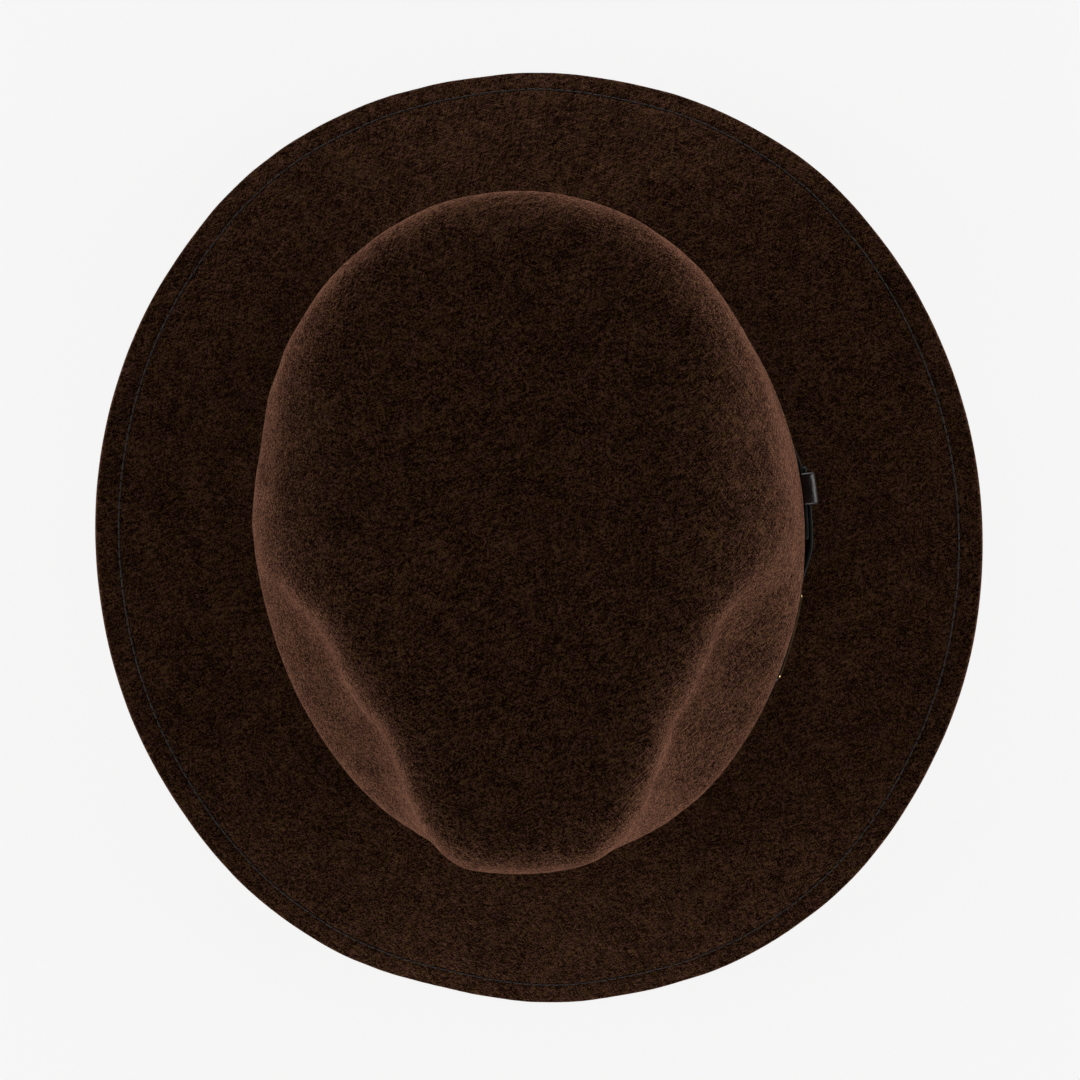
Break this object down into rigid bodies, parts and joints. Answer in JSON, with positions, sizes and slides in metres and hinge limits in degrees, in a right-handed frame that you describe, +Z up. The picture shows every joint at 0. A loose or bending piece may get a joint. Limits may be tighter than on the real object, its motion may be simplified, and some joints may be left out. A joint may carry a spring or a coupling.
{
  "type": "felt hat",
  "caption": "Soft-felt hat with a pinched front, a shallow teardrop top, a stitched brim, a leather band with a sliding keeper and a curved brass plate, a sweatband and a lining.",
  "frame": {"origin": "under the middle of the hat, on the surface that the front and back of the brim rest on", "axes": "+Z up, +Y towards the back of the hat, +X towards the wearer's left"},
  "size_m": [0.2968, 0.3186, 0.127],
  "materials": {
    "felt": "wool felt with lighter fibres",
    "thread": "matt polyester thread",
    "band_leather": "smooth black leather, satin",
    "keeper_leather": "polished dark brown leather",
    "brass": "brushed, lightly tarnished",
    "sweatband_leather": "smooth brown leather",
    "reed_plastic": "clear-white filament",
    "tape": "oilcloth",
    "ribbon": "grosgrain",
    "satin": "brown satin",
    "label_paper": "uncoated",
    "label_woven": "woven, blank"
  },
  "bodies": {
    "hat": {"felt_body": "felt", "brim_edge_stitching": "thread", "hat_band": "band_leather", "plate_backing": "keeper_leather", "brass_plate": "brass", "plate_rivets": "brass", "band_tack_stitches": "thread", "sweatband": "sweatband_leather", "sweatband_reed": "reed_plastic", "reed_tape": "tape", "sweatband_stitching": "thread", "sweatband_seam_tape": "tape", "sweatband_bow": "ribbon", "lining_side_band": "satin", "lining_tip": "satin", "lining_seam_cord": "satin", "size_label": "label_paper", "care_label": "label_woven"},
    "keeper": {"band_keeper": "keeper_leather"}
  },
  "joints": [
    {"name": "keeper_slide", "type": "hinge", "parent": "hat", "child": "keeper", "pos_m": [-0.0345, 0, 0.04], "axis": [0, 0, 1], "range_deg": [-5, 0.5]}
  ]
}
